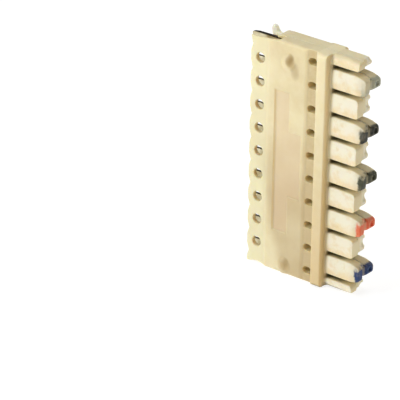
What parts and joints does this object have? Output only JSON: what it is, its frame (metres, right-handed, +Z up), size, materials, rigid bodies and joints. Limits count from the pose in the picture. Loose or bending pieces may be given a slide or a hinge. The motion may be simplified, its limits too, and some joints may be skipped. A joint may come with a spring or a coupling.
{
  "type": "punch down connecting block",
  "caption": "Slim clip-on wiring block with scalloped latching skirt, insulation displacement clips and colour tipped punch down teeth along one edge.",
  "frame": {"origin": "middle of the short end the block stands on, at the foot of its bounding box", "axes": "+Z up along the row of teeth, +X from the latching skirt to the tooth tips, +Y from the front face to the back face"},
  "size_m": [0.022, 0.006, 0.0381],
  "materials": {
    "ivory_plastic": "moulded ivory plastic, tooth tips inked",
    "clip_metal": "tin plated spring bronze, satin"
  },
  "bodies": {
    "root": {"front_shell": "ivory_plastic", "back_shell": "ivory_plastic", "contact_clip_01": "clip_metal", "contact_clip_02": "clip_metal", "contact_clip_03": "clip_metal", "contact_clip_04": "clip_metal", "contact_clip_05": "clip_metal", "contact_clip_06": "clip_metal", "contact_clip_07": "clip_metal", "contact_clip_08": "clip_metal", "contact_clip_09": "clip_metal", "contact_clip_10": "clip_metal"}
  },
  "joints": []
}
